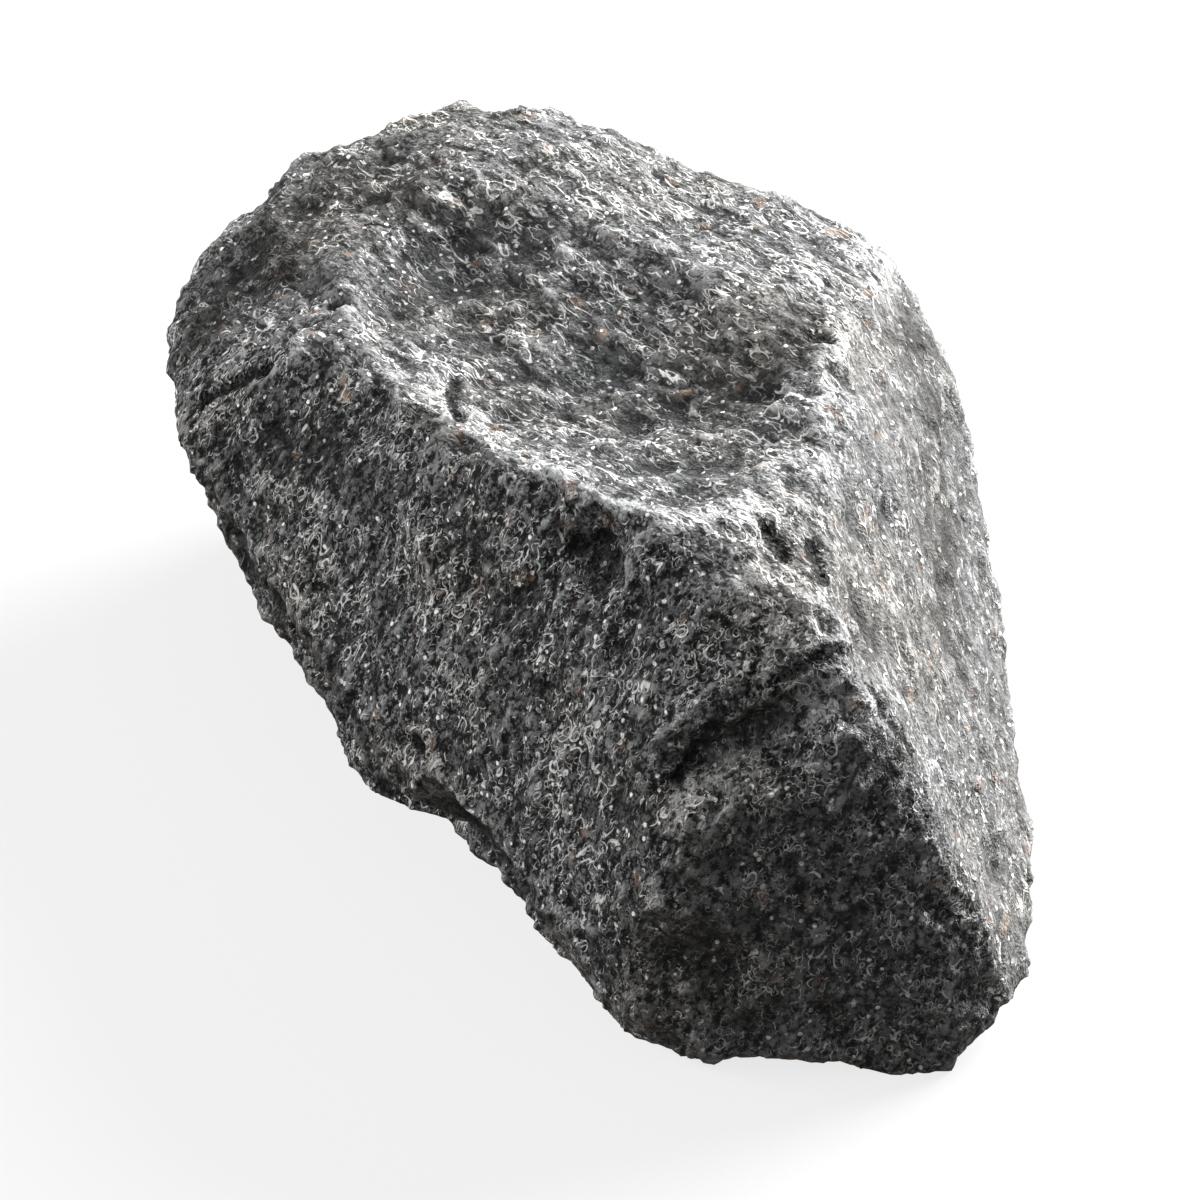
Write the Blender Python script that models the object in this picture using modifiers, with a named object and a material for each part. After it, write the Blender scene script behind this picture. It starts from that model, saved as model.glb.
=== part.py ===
"""A rough rock: one broken lump of dark crystalline stone, resting on its flattest side.

The stone is a crown with an overhanging lower lip, standing on a smaller foot. Both are hulls of
corners given in millimetres: X to the right, Y away from the steep front face, Z up from the ground.
Wedges and scoops are broken out of the joined stone, its surface is hackled at three sizes, and a
last level cut makes the face that it rests on.
"""

from math import radians

import bmesh
import bpy
from mathutils import Euler, Vector

MM = 0.001
NAME = "rock"
# The middle of the stone's outline on the ground, which becomes the origin.
GROUND_CENTRE = Vector((-0.45, 112.05, 0))
OFFSET = -GROUND_CENTRE * MM

# Corners of the crown, walked along each crest and edge.
TOP_RIM = [(23, 49, 97), (8, 47, 96), (-8, 67, 96), (-20, 92, 94), (-37, 116, 87), (-58, 140, 72)]
BACK_CREST = [(-50, 219, 70), (-28, 224, 76), (-16, 227, 78), (1, 214, 78), (56, 173, 79)]
RIDGE = [(62, 156, 80), (51, 123, 88), (43, 85, 93), (33, 33, 89), (41, 25, 82), (47, 20, 74)]
FRONT_EDGES = [(40, 11, 73), (28, 8, 66), (13, 9, 60), (8, 9, 48), (51, 15, 57), (58, 13, 47), (66, 10, 32)]
FRONT_TOE = [(2, 14, 4), (12, 7, 2), (40, 3, 1), (54, -1, 0), (61, 1, 1), (73, 9, 6)]
RIGHT_FLANK = [(70, 154, 73), (75, 146, 66), (78, 124, 55), (80, 94, 42)]
RIGHT_FLANK += [(81, 69, 28), (81, 39, 16), (78, 22, 9)]
LEFT_SHOULDER = [(-67, 205, 61), (-76, 193, 56), (-84, 178, 49), (-79, 145, 48)]
LOWER_LIP = [(-74, 132, 46), (-60, 115, 37), (-45, 88, 28), (-41, 68, 21)]
LOWER_LIP += [(-14, 41, 18), (-8, 35, 16), (1, 10, 12)]
BACK_FLANK = [(-72, 196, 34), (-12, 218, 30), (44, 184, 36), (70, 140, 22)]
BACK_TOE = [(-52, 196, 8), (-6, 208, 6), (40, 176, 4), (68, 112, 2)]
CROWN = TOP_RIM + BACK_CREST + RIDGE + FRONT_EDGES + FRONT_TOE + RIGHT_FLANK
CROWN += LEFT_SHOULDER + LOWER_LIP + BACK_FLANK + BACK_TOE

# Corners of the foot, in two lumps that reach up into the crown. The sole starts below the ground
# level, and what is below it goes with the level cut.
LEFT_FOOT = [(-76, 146, 40), (-69, 134, 33), (-62, 126, 23), (-51, 115, 13), (-45, 107, 8), (-44, 98, 3)]
LEFT_FOOT += [(-41, 87, -4), (-28, 76, -4), (-54, 160, -4), (-44, 180, -4), (10, 70, -4), (-20, 120, 50)]
FRONT_FOOT = [(-28, 76, 3), (-19, 60, 3), (-14, 50, 3), (-6, 38, 3), (-1, 23, 3), (20, 60, 60)]
FRONT_FOOT += [(2, 14, -4), (56, 4, -4), (72, 20, -4), (70, 90, -4)]
FRONT_FOOT += [(40, 170, -4), (-6, 202, -4), (-40, 188, -4)]

# A wedge broken out under the crack: its outer edge above, its depth behind, and the lower edge.
STEP = [(52, 8, 90), (20, 0, 80), (2, 4, 66)]
STEP += [(44, 23, 81), (22, 20, 70), (5, 22, 57)]
STEP += [(46, 6, 72), (13, 5, 59), (0, 14, 50)]
# Scoops broken out of the crown: name, centre, radii, and turn in degrees about X, Y and Z.
SCOOPS = [
    ("top_dish", (-4, 118, 134), (60, 132, 57), (-6, 0, 33)),
    ("rim_hollow", (-7, 52, 84), (12, 9, 7), (0, 0, -30)),
    ("lip_arch", (-27, 50, 14), (13, 20, 13), (0, 0, 35)),
]

# Cell of the even skin in millimetres, and the share of its triangles that the finished stone keeps.
SKIN = 1.7
KEPT_SHARE = 0.11
# Hackled relief from coarse to fine: width of a chip and height of its edges, in millimetres.
RELIEF = [(31, 2.2), (14, 1.3), (7, 0.6)]

STONE_COLOR = (0.085, 0.088, 0.092, 1.0)
STONE_ROUGHNESS = 0.85


def clear_scene():
    for old in list(bpy.data.objects):
        bpy.data.objects.remove(old)


def collection(name):
    made = bpy.data.collections.new(name)
    bpy.context.scene.collection.children.link(made)
    return made


def object_of(name, bm, home):
    mesh = bpy.data.meshes.new(name)
    bm.to_mesh(mesh)
    bm.free()
    made = bpy.data.objects.new(name, mesh)
    home.objects.link(made)
    return made


def hull(name, corners, home):
    """The convex hull of corners given in millimetres."""
    bm = bmesh.new()
    for corner in corners:
        bm.verts.new(Vector(corner) * MM + OFFSET)
    made = bmesh.ops.convex_hull(bm, input=bm.verts)
    unused = [v for v in made["geom_interior"] if isinstance(v, bmesh.types.BMVert)]
    bmesh.ops.delete(bm, geom=unused, context="VERTS")
    bmesh.ops.recalc_face_normals(bm, faces=bm.faces)
    return object_of(name, bm, home)


def ellipsoid(name, centre, radii, turn, home):
    """A stretched sphere, turned and then set at its centre."""
    bm = bmesh.new()
    bmesh.ops.create_icosphere(bm, subdivisions=5, radius=1.0)
    bmesh.ops.scale(bm, vec=Vector(radii) * MM, verts=bm.verts)
    tilt = Euler([radians(angle) for angle in turn]).to_matrix()
    bmesh.ops.rotate(bm, cent=(0, 0, 0), matrix=tilt, verts=bm.verts)
    bmesh.ops.translate(bm, vec=Vector(centre) * MM + OFFSET, verts=bm.verts)
    return object_of(name, bm, home)


def ground(home):
    """A block whose top is the ground level."""
    bm = bmesh.new()
    bmesh.ops.create_cube(bm, size=400 * MM)
    bmesh.ops.translate(bm, vec=(0, 0, -200 * MM), verts=bm.verts)
    return object_of("ground", bm, home)


def boolean(obj, other, operation):
    other.hide_render = True
    other.display_type = "WIRE"
    made = obj.modifiers.new(other.name, "BOOLEAN")
    made.operation = operation
    made.solver = "EXACT"
    made.object = other


def reskin(obj, name):
    """Covers the whole stone with one even skin, which heals any fold in it."""
    made = obj.modifiers.new(name, "REMESH")
    made.mode = "VOXEL"
    made.voxel_size = SKIN * MM


def hackle(obj, width, height):
    """Breaks the surface into hollow chips of that width, with edges of that height."""
    pattern = bpy.data.textures.new("hackle_%d" % width, "VORONOI")
    pattern.noise_scale = width * MM
    pattern.distance_metric = "DISTANCE"
    made = obj.modifiers.new(pattern.name, "DISPLACE")
    made.texture = pattern
    made.texture_coords = "LOCAL"
    made.strength = 2 * height * MM
    made.mid_level = 0.5


def stone_material():
    made = bpy.data.materials.new("dark_stone")
    made.use_nodes = True
    shader = made.node_tree.nodes["Principled BSDF"]
    shader.inputs["Base Color"].default_value = STONE_COLOR
    shader.inputs["Roughness"].default_value = STONE_ROUGHNESS
    shader.inputs["Metallic"].default_value = 0.0
    return made


def build():
    clear_scene()
    parts = collection("rough_rock")
    helpers = collection("cutters")

    rock = hull(NAME, CROWN, parts)
    boolean(rock, hull("step", STEP, helpers), "DIFFERENCE")
    for name, centre, radii, turn in SCOOPS:
        boolean(rock, ellipsoid(name, centre, radii, turn, helpers), "DIFFERENCE")
    boolean(rock, hull("left_foot", LEFT_FOOT, helpers), "UNION")
    boolean(rock, hull("front_foot", FRONT_FOOT, helpers), "UNION")

    reskin(rock, "even_skin")
    for width, height in RELIEF:
        hackle(rock, width, height)
    reskin(rock, "healed_skin")
    thin = rock.modifiers.new("thin", "DECIMATE")
    thin.ratio = KEPT_SHARE
    boolean(rock, ground(helpers), "DIFFERENCE")
    rock.data.materials.append(stone_material())


build()
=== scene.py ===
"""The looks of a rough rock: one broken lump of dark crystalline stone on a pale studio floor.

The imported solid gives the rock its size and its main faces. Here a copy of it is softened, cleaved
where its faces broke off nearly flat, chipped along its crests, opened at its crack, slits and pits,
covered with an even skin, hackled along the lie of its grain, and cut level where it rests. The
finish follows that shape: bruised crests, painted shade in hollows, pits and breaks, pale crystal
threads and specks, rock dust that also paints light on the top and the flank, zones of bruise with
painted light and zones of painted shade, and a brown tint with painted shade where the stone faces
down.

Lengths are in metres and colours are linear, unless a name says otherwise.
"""

import logging
import random
from dataclasses import dataclass, field
from enum import Enum
from math import cos, radians, sin
from typing import Mapping, Union

import bpy
import numpy as np
from mathutils import Matrix, Vector
from mathutils.bvhtree import BVHTree

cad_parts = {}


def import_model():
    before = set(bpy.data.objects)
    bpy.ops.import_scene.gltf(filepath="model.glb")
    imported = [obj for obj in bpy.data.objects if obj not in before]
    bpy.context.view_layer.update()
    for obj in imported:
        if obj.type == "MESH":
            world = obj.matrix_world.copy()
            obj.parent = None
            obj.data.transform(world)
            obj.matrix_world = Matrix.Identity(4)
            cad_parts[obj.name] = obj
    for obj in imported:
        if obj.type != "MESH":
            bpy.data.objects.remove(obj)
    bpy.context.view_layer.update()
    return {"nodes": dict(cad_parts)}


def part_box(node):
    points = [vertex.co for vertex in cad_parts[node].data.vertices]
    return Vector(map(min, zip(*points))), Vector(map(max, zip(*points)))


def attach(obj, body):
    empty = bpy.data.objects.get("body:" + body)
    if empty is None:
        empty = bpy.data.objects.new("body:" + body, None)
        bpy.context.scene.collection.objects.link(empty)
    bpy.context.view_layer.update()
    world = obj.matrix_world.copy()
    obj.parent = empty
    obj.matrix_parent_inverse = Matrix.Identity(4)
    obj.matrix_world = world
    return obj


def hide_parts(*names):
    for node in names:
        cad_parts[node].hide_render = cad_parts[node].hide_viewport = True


LOG = logging.getLogger("rough_rock")
MM = 0.001
NODE = "rock"
PIECE = "broken_stone"
BODY = "root"
UP = Vector((0, 0, 1))

Pixel = tuple[float, float]
Direction = tuple[float, float, float]
Colour = tuple[float, float, float, float]
Socket = Union[bpy.types.NodeSocket, float, tuple]


class Pattern(Enum):
    """The texture kinds that relief is made with."""

    CHIPS = "VORONOI"
    CLOUDS = "CLOUDS"
    CRACKLE = "DISTORTED_NOISE"


class Look(Enum):
    """What a laid-on colour does to the colour under it."""

    MIX = "MIX"
    DARKEN = "MULTIPLY"


class Mark(Enum):
    """The numbers that the mesh holds for its finish, one for each vertex."""

    FINE_CREST = "fine_crest"
    BROAD_CREST = "broad_crest"
    GREAT_CREST = "great_crest"
    LIE = "lie"
    DUST_AND_PAINTED_LIGHT = "dust"
    BREAK_DISTANCE = "break_distance"
    BRUISE_AND_PAINTED_SHADING = "pale"


# Rounds of smoothing that each size of crest stands out from.
CREST_ROUNDS = {Mark.FINE_CREST: 12, Mark.BROAD_CREST: 140, Mark.GREAT_CREST: 500}


def deselect() -> None:
    """Deselects everything, so that an operator acts on nothing by accident."""
    bpy.ops.object.select_all(action="DESELECT")


def activate(obj: bpy.types.Object) -> None:
    """Makes one object the only selected one and the active one.

    Args:
        obj: The object that the next operator acts on.
    """
    deselect()
    obj.select_set(True)
    bpy.context.view_layer.objects.active = obj


def apply_modifier(obj: bpy.types.Object, kind: str, **settings: object) -> None:
    """Adds a modifier with its settings and applies it.

    Args:
        obj: The object to change.
        kind: The modifier's type.
        **settings: The modifier's properties.
    """
    activate(obj)
    made = obj.modifiers.new(kind.lower(), kind)
    for name, value in settings.items():
        setattr(made, name, value)
    bpy.ops.object.modifier_apply(modifier=made.name)


def points_of(obj: bpy.types.Object) -> np.ndarray:
    """Reads a mesh's vertices.

    Args:
        obj: A mesh object.

    Returns:
        One row of x, y and z for each vertex.
    """
    points = np.empty(len(obj.data.vertices) * 3, np.float32)
    obj.data.vertices.foreach_get("co", points)
    return points.reshape(-1, 3)


def move_points(obj: bpy.types.Object, points: np.ndarray) -> None:
    """Moves a mesh's vertices.

    Args:
        obj: A mesh object.
        points: One row of x, y and z for each vertex.
    """
    obj.data.vertices.foreach_set("co", points.ravel())
    obj.data.update()


def normals_of(obj: bpy.types.Object) -> np.ndarray:
    """Reads a mesh's vertex normals.

    Args:
        obj: A mesh object.

    Returns:
        One row of x, y and z for each vertex.
    """
    normals = np.empty(len(obj.data.vertices) * 3, np.float32)
    obj.data.vertex_normals.foreach_get("vector", normals)
    return normals.reshape(-1, 3)


def path_distance(points: np.ndarray, path: list[Vector], out: Vector, deeper: float = 1.0) -> np.ndarray:
    """Measures how far points are from a path over the stone.

    Args:
        points: One row of x, y and z for each point.
        path: The places along the path.
        out: The way out of the stone along the path.
        deeper: The share that counts of the distance along that way.

    Returns:
        The distance for each point.
    """
    nearest = np.full(len(points), 1.0)
    for start, end in zip(path, path[1:]):
        along = np.array(end - start)
        share = np.clip((points - np.array(start)) @ along / (along @ along), 0, 1)
        away = points - np.array(start) - share[:, None] * along
        height = away @ np.array(out)
        aside = (away * away).sum(axis=1) - height * height
        nearest = np.minimum(nearest, np.sqrt(np.maximum(aside, 0) + (height * deeper) ** 2))
    return nearest


@dataclass(frozen=True)
class Viewpoint:
    """The photograph's camera, which also says where a pixel of the photograph lies on the rock.

    Attributes:
        image_px: Width and height of the photograph.
        photo_lens_mm: Lens that gives the photograph's perspective on the sensor.
        sensor_mm: Width of the sensor.
        down_deg: How far the camera looks down.
        ground_px: The pixel of the point where the rock's front meets the ground.
        ground_point: That point in the rock's frame.
        distance: From the camera to that point.
        centre_px: The pixel in the middle of the rock.
        close_up: How much larger the rock is shown than in the photograph.
    """

    image_px: float = 1200.0
    photo_lens_mm: float = 85.0
    sensor_mm: float = 36.0
    down_deg: float = 33.0
    ground_px: Pixel = (740.0, 980.0)
    ground_point: Direction = (0.00045, -0.11205, 0.0)
    distance: float = 1.19
    centre_px: Pixel = (738.0, 762.0)
    close_up: float = 2.3

    def axes(self) -> tuple[Vector, Vector, Vector]:
        """Gives the photograph's right, up and forward directions."""
        tilt = radians(self.down_deg)
        return Vector((1, 0, 0)), Vector((0, sin(tilt), cos(tilt))), Vector((0, cos(tilt), -sin(tilt)))

    def ray(self, pixel: Pixel) -> Vector:
        """Gives the direction in which the camera sees a pixel.

        Args:
            pixel: A place in the photograph.

        Returns:
            The unit direction from the camera.
        """
        right, up, forward = self.axes()
        focal_px = self.photo_lens_mm / self.sensor_mm * self.image_px
        middle = self.image_px / 2
        seen = forward * focal_px + right * (pixel[0] - middle) + up * (middle - pixel[1])
        return seen.normalized()

    def place(self) -> Vector:
        """Gives the camera's place in the rock's frame."""
        return Vector(self.ground_point) - self.ray(self.ground_px) * self.distance

    def make_camera(self) -> bpy.types.Object:
        """Adds the camera, which looks at the middle of the rock from the photograph's place.

        Returns:
            The camera's object.
        """
        bpy.ops.object.camera_add(location=self.place())
        camera = bpy.context.object
        camera.name = "camera"
        camera.data.lens = self.photo_lens_mm * self.close_up
        camera.data.sensor_width = self.sensor_mm
        camera.data.clip_start = 0.01
        camera.rotation_euler = self.ray(self.centre_px).to_track_quat("-Z", "Y").to_euler()
        bpy.context.scene.camera = camera
        return camera


@dataclass(frozen=True)
class Relief:
    """One size of hackled relief.

    Attributes:
        name: What it is.
        pattern: The kind of texture.
        width_mm: Width of one chip or grain.
        height_mm: From its lowest to its highest.
        along_grain: Whether it is drawn out along the lie of the grain.
    """

    name: str
    pattern: Pattern
    width_mm: float
    height_mm: float
    along_grain: bool = True

    def texture(self) -> bpy.types.Texture:
        """Makes the texture that drives the displacement.

        Returns:
            The texture, with its size set.
        """
        made = bpy.data.textures.new(self.name, self.pattern.value)
        made.noise_scale = self.width_mm * MM
        if self.pattern is Pattern.CLOUDS:
            made.noise_depth = 3
        if self.pattern is Pattern.CRACKLE:
            made.noise_basis = "VORONOI_F2_F1"
            made.noise_distortion = "ORIGINAL_PERLIN"
            made.distortion = 0.8
        return made


@dataclass(frozen=True)
class Break:
    """A crack, slit or pit that the photograph shows, as a chain of short hollows.

    Attributes:
        name: What it is.
        path_px: Its course over the photograph.
        wide_mm: Its width.
        deep_mm: Its depth.
        painted_shade_share: Share of its width that is darkened as painted shade.
        overlap: Half length of a hollow as a share of its step along the path.
    """

    name: str
    path_px: tuple[Pixel, ...]
    wide_mm: float
    deep_mm: float
    painted_shade_share: float = 0.9
    overlap: float = 0.72


@dataclass(frozen=True)
class BruiseAndShadingPatch:
    """A zone along a path in the photograph: bruise and painted light where paler, painted shade where
    darker.

    Attributes:
        name: Where it is.
        path_px: Its course over the photograph.
        wide_mm: From its middle to where it ends.
        pale: Bruise and painted light where above zero, painted shade where below it.
    """

    name: str
    path_px: tuple[Pixel, ...]
    wide_mm: float
    pale: float


@dataclass(frozen=True)
class Scoop:
    """One hollow that a chip or a break leaves.

    Attributes:
        centre: Its middle.
        radii: Its half sizes along its own axes.
        turn: Its axes.
        out: The way out of the stone.
    """

    centre: Vector
    radii: Vector
    turn: Matrix
    out: Vector

    def carve(self, points: np.ndarray) -> None:
        """Pushes the points that lie inside the hollow down to its bottom.

        Args:
            points: One row of x, y and z for each point, which is changed.
        """
        axes, radii = np.array(self.turn), np.array(self.radii)
        local = (points - np.array(self.centre)) @ axes / radii
        reach = (local * local).sum(axis=1) - 1
        inside = reach < 0
        down = -(np.array(self.out) @ axes) / radii
        steep, lean = down @ down, local[inside] @ down
        depth = (np.sqrt(lean * lean - steep * reach[inside]) - lean) / steep
        points[inside] -= depth[:, None] * np.array(self.out)


@dataclass(frozen=True)
class Cleave:
    """A face that broke off nearly flat.

    Attributes:
        name: Which face it is.
        seen_px: Places on the face in the photograph.
        deep_mm: How far inside the face the cut lies.
    """

    name: str
    seen_px: tuple[Pixel, ...]
    deep_mm: float


@dataclass(frozen=True)
class Lie:
    """The direction in which the stone's grain runs over faces that look one way.

    Attributes:
        name: Which faces.
        facing: Where they look.
        along: Where the grain runs.
        drawn_out: How much longer than wide the grain is.
        dust: Pale rock dust on the faces, from 0 to 1, which also paints light on top and flank.
    """

    name: str
    facing: Direction
    along: Direction
    drawn_out: float
    dust: float

    def turn(self) -> Matrix:
        """Gives the turn that lays X along the grain."""
        return Vector(self.along).to_track_quat("X", "Z").to_matrix()


# The last number is rock dust, which on the top and the flank also paints light.
LIES = (
    Lie("top", (0.0, 0.05, 1.0), (0.54, -0.84, 0.0), 2.5, 0.34),
    Lie("flank", (0.95, 0.15, 0.28), (0.25, -0.88, -0.41), 2.2, 0.55),
    Lie("front", (0.0, -0.95, 0.25), (0.30, -0.12, 0.95), 1.3, 0.26),
    Lie("left", (-0.80, -0.50, 0.30), (0.35, -0.12, 0.93), 1.7, 0.0),
    Lie("back", (-0.3, 0.9, 0.2), (-0.5, -0.1, 0.86), 1.7, 0.2),
)


@dataclass
class BrokenStone:
    """The rock's visible body.

    Attributes:
        view: The photograph's camera, which places the faces, breaks and patches.
        sole_mm: How far the resting face is drawn down before it is cut level.
        coarse_mm: Cell of the softened first skin.
        carved_mm: Cell of the skin that the chips and breaks are carved in.
        fine_mm: Cell of the last skin.
        chips: How many chips are knocked off the crests.
        chip_mm: Smallest and largest radius of a chip.
        chip_long: Least and most length of a chip for its width.
        chip_flat: Height of a chip for its width.
        chip_lift: How far a chip's middle stands out of the stone for its height.
        chip_gap_mm: Least distance between the middles of two chips.
        chip_low_mm: Least height of a chip over the ground.
        crest_rounds: Rounds of smoothing that find the crests for the chips.
        crest_part: One vertex in this many counts as a crest.
        seed: Seed of the chips' places and turns.
        lie_rounds: Rounds of smoothing before a vertex is given its lie of the grain.
        lie_sharpness: How fast one lie gives way to the next.
        spike_mm: How far a spike may stand out.
        spike_rounds: Rounds of smoothing that a spike is drawn back to.
        cleaves: The nearly flat faces.
        breaks: The cracks, slits and pits.
        bruise_and_shading_patches: The bruised zones, the zones of painted light and of painted shade.
        reliefs: The sizes of relief, from coarse to fine.
        body: The stone's object, once it is copied.
        paths: Each break's course over the stone.
        outs: The way out of the stone at each break.
        bruise_and_shading_zones: Each patch's course over the stone.
    """

    view: Viewpoint
    sole_mm: float = 3.0
    coarse_mm: float = 1.3
    carved_mm: float = 0.85
    fine_mm: float = 1.03
    chips: int = 230
    chip_mm: tuple[float, float] = (1.6, 6.0)
    chip_long: tuple[float, float] = (0.8, 1.7)
    chip_flat: float = 0.7
    chip_lift: float = 0.52
    chip_gap_mm: float = 3.0
    chip_low_mm: float = 4.0
    crest_rounds: int = 160
    crest_part: int = 16
    seed: int = 7
    lie_rounds: int = 120
    lie_sharpness: float = 14.0
    spike_mm: float = 0.6
    spike_rounds: int = 14
    cleaves: tuple[Cleave, ...] = (
        Cleave("front", ((800, 865), (835, 845), (880, 905), (850, 950), (790, 940), (830, 900)), 0.4),
        Cleave("flank", ((872, 690), (885, 740), (890, 800), (905, 860), (880, 780), (870, 750)), 0.3),
        Cleave("upper_flank", ((862, 640), (876, 655), (888, 690), (868, 700), (858, 680)), 0.4),
        Cleave("lower_left", ((720, 860), (755, 850), (750, 880), (735, 900), (715, 880)), 0.5),
    )
    breaks: tuple[Break, ...] = (
        Break(
            "front_crack",
            (
                (848, 787), (836, 789), (824, 795), (812, 801),
                (800, 808), (789, 819), (778, 829), (768, 841),
            ),
            2.2, 2.0, 0.7,
        ),
        Break("side_crack", ((808, 780), (806, 790), (801, 799), (799, 807)), 1.8, 1.6, 0.7),
        Break("flank_slit", ((812, 729), (815, 735), (820, 744)), 2.3, 2.8, 1.4),
        Break("flank_nick", ((832, 739), (834, 746), (837, 755)), 2.2, 2.8, 1.4),
        Break("ridge_nick_upper", ((857, 803), (860, 809), (862, 816)), 2.0, 1.8, 1.3),
        Break("ridge_nick_lower", ((866, 820), (870, 826), (873, 832)), 2.0, 1.8, 1.3),
        Break("shoulder_notch", ((565, 669), (573, 664), (581, 661), (589, 658), (596, 655)), 3.4, 3.0),
        Break("rim_notch", ((678, 662), (677, 670), (680, 680)), 2.4, 2.4),
        Break("rim_crack", ((716, 744), (724, 740), (733, 738), (742, 736)), 2.4, 1.2, 0.5),
        Break("face_ledge", ((717, 744), (715, 762), (703, 785)), 3.2, 1.2, 0.4),
        Break("left_pit", ((611, 750), (615, 753)), 2.4, 1.6),
        Break("lip_pit", ((653, 822), (657, 826)), 2.8, 2.0),
        Break("shoulder_slit", ((641, 593), (648, 594), (654, 596)), 1.8, 1.2),
        Break("dish_pit", ((834, 645), (842, 649)), 6.0, 3.0, 0.7),
    )
    # Each patch's last number above zero is bruise and painted light, below zero painted shade.
    bruise_and_shading_patches: tuple[BruiseAndShadingPatch, ...] = (
        BruiseAndShadingPatch(
            "near_rim",
            ((640, 648), (662, 662), (686, 678), (708, 697), (732, 712), (756, 720)),
            7.0, 0.58,
        ),
        BruiseAndShadingPatch("near_rim_end", ((756, 720), (780, 724), (800, 722)), 5.0, 0.8),
        BruiseAndShadingPatch("dish_ridge", ((852, 640), (846, 660), (836, 682), (820, 702), (802, 722)), 5.0, 0.9),
        BruiseAndShadingPatch("ridge_top", ((858, 616), (872, 612), (868, 632)), 7.0, 1.0),
        BruiseAndShadingPatch(
            "ridge_fringe",
            ((802, 724), (826, 756), (842, 778), (868, 806), (888, 850), (906, 885)),
            2.6, 0.8,
        ),
        BruiseAndShadingPatch("ridge_bruise", ((812, 740), (836, 770)), 7.0, 0.55),
        BruiseAndShadingPatch("ridge_bruise_upper", ((852, 680), (838, 712), (826, 730)), 7.0, 0.5),
        BruiseAndShadingPatch("upper_left", ((604, 590), (634, 574), (664, 580)), 18.0, -0.50),
        BruiseAndShadingPatch("far_band", ((704, 566), (740, 580), (790, 602), (830, 618)), 11.0, 0.15),
        BruiseAndShadingPatch("dish_right", ((796, 668), (822, 658), (838, 642)), 12.0, -0.5),
        BruiseAndShadingPatch("below_peak", ((770, 728), (790, 738), (806, 752), (815, 765)), 6.0, 0.45),
        BruiseAndShadingPatch("below_crack", ((776, 846), (796, 830), (818, 817), (838, 808), (852, 812)), 6.5, 0.95),
        BruiseAndShadingPatch("front_left_edge", ((772, 846), (766, 862), (764, 884), (752, 908)), 4.0, 0.5),
        BruiseAndShadingPatch(
            "lower_left_rim",
            ((626, 786), (634, 812), (650, 832), (684, 856), (700, 880), (726, 908)),
            3.0, 0.6,
        ),
        BruiseAndShadingPatch("right_of_front", ((800, 758), (828, 780)), 14.0, 0.55),
        BruiseAndShadingPatch("upper_flank", ((878, 640), (886, 680), (890, 730), (892, 770)), 20.0, -0.52),
        BruiseAndShadingPatch("left_streaks", ((690, 690), (700, 718), (692, 748)), 7.0, 0.25),
        BruiseAndShadingPatch("mid_streaks", ((735, 790), (720, 820), (705, 850)), 9.0, 0.3),
        BruiseAndShadingPatch("left_shoulder", ((566, 640), (582, 618), (602, 608)), 19.0, -0.70),
        BruiseAndShadingPatch("left_corner", ((570, 700), (600, 690), (640, 700)), 14.0, -0.5),
        BruiseAndShadingPatch("under_rim", ((650, 668), (676, 688), (700, 712), (722, 730)), 5.0, -0.45),
        BruiseAndShadingPatch("under_crack_left", ((792, 776), (775, 790), (760, 805)), 7.0, -0.35),
        BruiseAndShadingPatch("front_right_corner", ((905, 900), (900, 940)), 7.0, -0.3),
        BruiseAndShadingPatch("undercut", ((572, 727), (582, 742), (596, 760), (610, 780), (622, 800)), 7.0, -0.75),
        BruiseAndShadingPatch("under_lip", ((630, 820), (640, 840), (664, 850), (690, 872), (708, 900)), 5.0, -0.8),
    )
    reliefs: tuple[Relief, ...] = (
        Relief("swell", Pattern.CLOUDS, 26.0, 1.4, False),
        Relief("hackle", Pattern.CHIPS, 7.5, 1.6),
        Relief("flakes", Pattern.CRACKLE, 4.2, 0.85),
        Relief("grains", Pattern.CLOUDS, 2.4, 0.6, False),
    )
    body: bpy.types.Object = field(init=False, default=None)
    paths: dict[str, list[Vector]] = field(init=False, default_factory=dict)
    outs: dict[str, Vector] = field(init=False, default_factory=dict)
    bruise_and_shading_zones: dict[str, list[Vector]] = field(init=False, default_factory=dict)

    def copy_node(self, node: bpy.types.Object) -> None:
        """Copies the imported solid, merges it, and draws its resting face down to be cut level later.

        Args:
            node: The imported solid, which stays as it is.
        """
        self.body = bpy.data.objects.new(PIECE, node.data.copy())
        bpy.context.scene.collection.objects.link(self.body)
        activate(self.body)
        bpy.ops.object.mode_set(mode="EDIT")
        bpy.ops.mesh.select_all(action="SELECT")
        bpy.ops.mesh.remove_doubles(threshold=0.01 * MM)
        bpy.ops.object.mode_set(mode="OBJECT")
        points = points_of(self.body)
        points[points[:, 2] < 0.1 * MM, 2] -= self.sole_mm * MM
        move_points(self.body, points)

    def soften(self) -> None:
        """Gives the solid an even skin and rounds its facets, but keeps its faces and crests."""
        apply_modifier(self.body, "REMESH", mode="VOXEL", voxel_size=self.coarse_mm * MM)
        apply_modifier(self.body, "SMOOTH", factor=0.5, iterations=4)

    def smoothed(self, rounds: int) -> tuple[np.ndarray, np.ndarray]:
        """Smooths a copy of the body.

        Args:
            rounds: Rounds of smoothing.

        Returns:
            The copy's points and normals, one row for each of the body's vertices.
        """
        smooth = bpy.data.objects.new("smoothed_copy", self.body.data.copy())
        bpy.context.scene.collection.objects.link(smooth)
        apply_modifier(smooth, "SMOOTH", factor=0.5, iterations=rounds)
        points, normals = points_of(smooth), normals_of(smooth)
        bpy.data.objects.remove(smooth)
        return points, normals

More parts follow.
